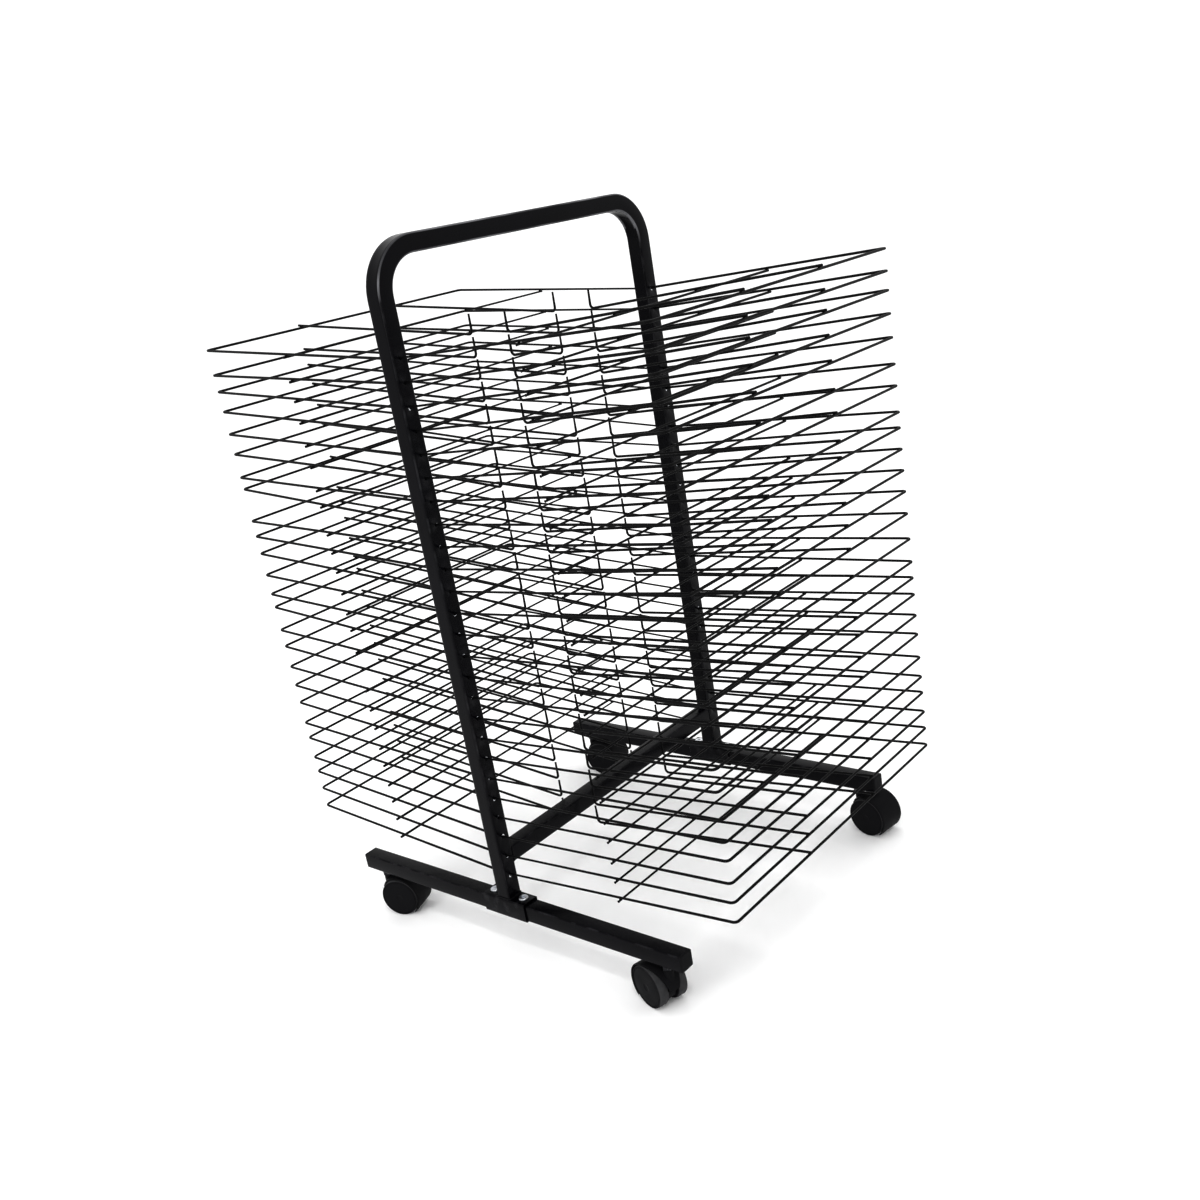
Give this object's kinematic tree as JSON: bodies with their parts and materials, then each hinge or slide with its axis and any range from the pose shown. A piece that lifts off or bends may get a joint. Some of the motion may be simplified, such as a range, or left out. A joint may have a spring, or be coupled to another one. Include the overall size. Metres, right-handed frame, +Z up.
{
  "type": "art drying rack",
  "caption": "Mobile double-sided drying rack: a stack of V-shaped wire shelves plugged into a bent square-tube frame, on two feet with twin-wheel swivel castors.",
  "frame": {"origin": "on the floor under the middle of the rack, halfway between the uprights and halfway along the feet; the castors' rest swivel leaves the bounding box a few millimetres off centre in X", "axes": "+X from one upright to the other, +Y along the feet, +Z up"},
  "size_m": [0.4706, 0.6678, 0.826],
  "materials": {
    "frame_paint": "black powder coat, satin, fine texture",
    "shelf_wire": "black powder coat on round wire, satin",
    "zinc": "bright zinc plating",
    "castor_plastic": "moulded black nylon, fine grain",
    "wheel_plastic": "moulded black tread, slightly polished by use"
  },
  "bodies": {
    "rack": {"u_frame": "frame_paint", "crossbar": "frame_paint", "sleeve_left": "frame_paint", "sleeve_right": "frame_paint", "foot_left": "frame_paint", "foot_right": "frame_paint", "foot_end_caps": "castor_plastic", "clamp_screws": "zinc", "castor_stems": "zinc", "castor_nuts": "zinc", "shelf_01": "shelf_wire", "shelf_02": "shelf_wire", "shelf_03": "shelf_wire", "shelf_04": "shelf_wire", "shelf_05": "shelf_wire", "shelf_06": "shelf_wire", "shelf_07": "shelf_wire", "shelf_08": "shelf_wire", "shelf_09": "shelf_wire", "shelf_10": "shelf_wire", "shelf_11": "shelf_wire", "shelf_12": "shelf_wire", "shelf_13": "shelf_wire", "shelf_14": "shelf_wire", "shelf_15": "shelf_wire", "shelf_16": "shelf_wire", "shelf_17": "shelf_wire", "shelf_18": "shelf_wire", "shelf_19": "shelf_wire", "shelf_20": "shelf_wire", "shelf_21": "shelf_wire", "shelf_22": "shelf_wire", "shelf_23": "shelf_wire", "shelf_24": "shelf_wire", "shelf_25": "shelf_wire"},
    "castor_front_left": {"castor_hood_front_left": "castor_plastic", "castor_axle_front_left": "zinc"},
    "wheel_front_left_a": {"castor_wheel_front_left_a": "wheel_plastic"},
    "wheel_front_left_b": {"castor_wheel_front_left_b": "wheel_plastic"},
    "castor_rear_left": {"castor_hood_rear_left": "castor_plastic", "castor_axle_rear_left": "zinc"},
    "wheel_rear_left_a": {"castor_wheel_rear_left_a": "wheel_plastic"},
    "wheel_rear_left_b": {"castor_wheel_rear_left_b": "wheel_plastic"},
    "castor_front_right": {"castor_hood_front_right": "castor_plastic", "castor_axle_front_right": "zinc"},
    "wheel_front_right_a": {"castor_wheel_front_right_a": "wheel_plastic"},
    "wheel_front_right_b": {"castor_wheel_front_right_b": "wheel_plastic"},
    "castor_rear_right": {"castor_hood_rear_right": "castor_plastic", "castor_axle_rear_right": "zinc"},
    "wheel_rear_right_a": {"castor_wheel_rear_right_a": "wheel_plastic"},
    "wheel_rear_right_b": {"castor_wheel_rear_right_b": "wheel_plastic"}
  },
  "joints": [
    {"name": "castor_swivel_front_left", "type": "hinge", "parent": "rack", "child": "castor_front_left", "pos_m": [-0.212, -0.228, 0.0503], "axis": [0, 0, 1], "continuous": true},
    {"name": "wheel_roll_front_left_a", "type": "hinge", "parent": "castor_front_left", "child": "wheel_front_left_a", "pos_m": [-0.20649, -0.20877, 0.025], "axis": [0.9613, -0.2756, 0], "continuous": true},
    {"name": "wheel_roll_front_left_b", "type": "hinge", "parent": "castor_front_left", "child": "wheel_front_left_b", "pos_m": [-0.20649, -0.20877, 0.025], "axis": [0.9613, -0.2756, 0], "continuous": true},
    {"name": "castor_swivel_rear_left", "type": "hinge", "parent": "rack", "child": "castor_rear_left", "pos_m": [-0.212, 0.228, 0.0503], "axis": [0, 0, 1], "continuous": true},
    {"name": "wheel_roll_rear_left_a", "type": "hinge", "parent": "castor_rear_left", "child": "wheel_rear_left_a", "pos_m": [-0.20516, 0.20921, 0.025], "axis": [-0.9397, -0.342, 0], "continuous": true},
    {"name": "wheel_roll_rear_left_b", "type": "hinge", "parent": "castor_rear_left", "child": "wheel_rear_left_b", "pos_m": [-0.20516, 0.20921, 0.025], "axis": [-0.9397, -0.342, 0], "continuous": true},
    {"name": "castor_swivel_front_right", "type": "hinge", "parent": "rack", "child": "castor_front_right", "pos_m": [0.212, -0.228, 0.0503], "axis": [0, 0, 1], "continuous": true},
    {"name": "wheel_roll_front_right_a", "type": "hinge", "parent": "castor_front_right", "child": "wheel_front_right_a", "pos_m": [0.20922, -0.2478, 0.025], "axis": [-0.9903, 0.1392, 0], "continuous": true},
    {"name": "wheel_roll_front_right_b", "type": "hinge", "parent": "castor_front_right", "child": "wheel_front_right_b", "pos_m": [0.20922, -0.2478, 0.025], "axis": [-0.9903, 0.1392, 0], "continuous": true},
    {"name": "castor_swivel_rear_right", "type": "hinge", "parent": "rack", "child": "castor_rear_right", "pos_m": [0.212, 0.228, 0.0503], "axis": [0, 0, 1], "continuous": true},
    {"name": "wheel_roll_rear_right_a", "type": "hinge", "parent": "castor_rear_right", "child": "wheel_rear_right_a", "pos_m": [0.21547, 0.2083, 0.025], "axis": [-0.9848, -0.1736, 0], "continuous": true},
    {"name": "wheel_roll_rear_right_b", "type": "hinge", "parent": "castor_rear_right", "child": "wheel_rear_right_b", "pos_m": [0.21547, 0.2083, 0.025], "axis": [-0.9848, -0.1736, 0], "continuous": true}
  ]
}
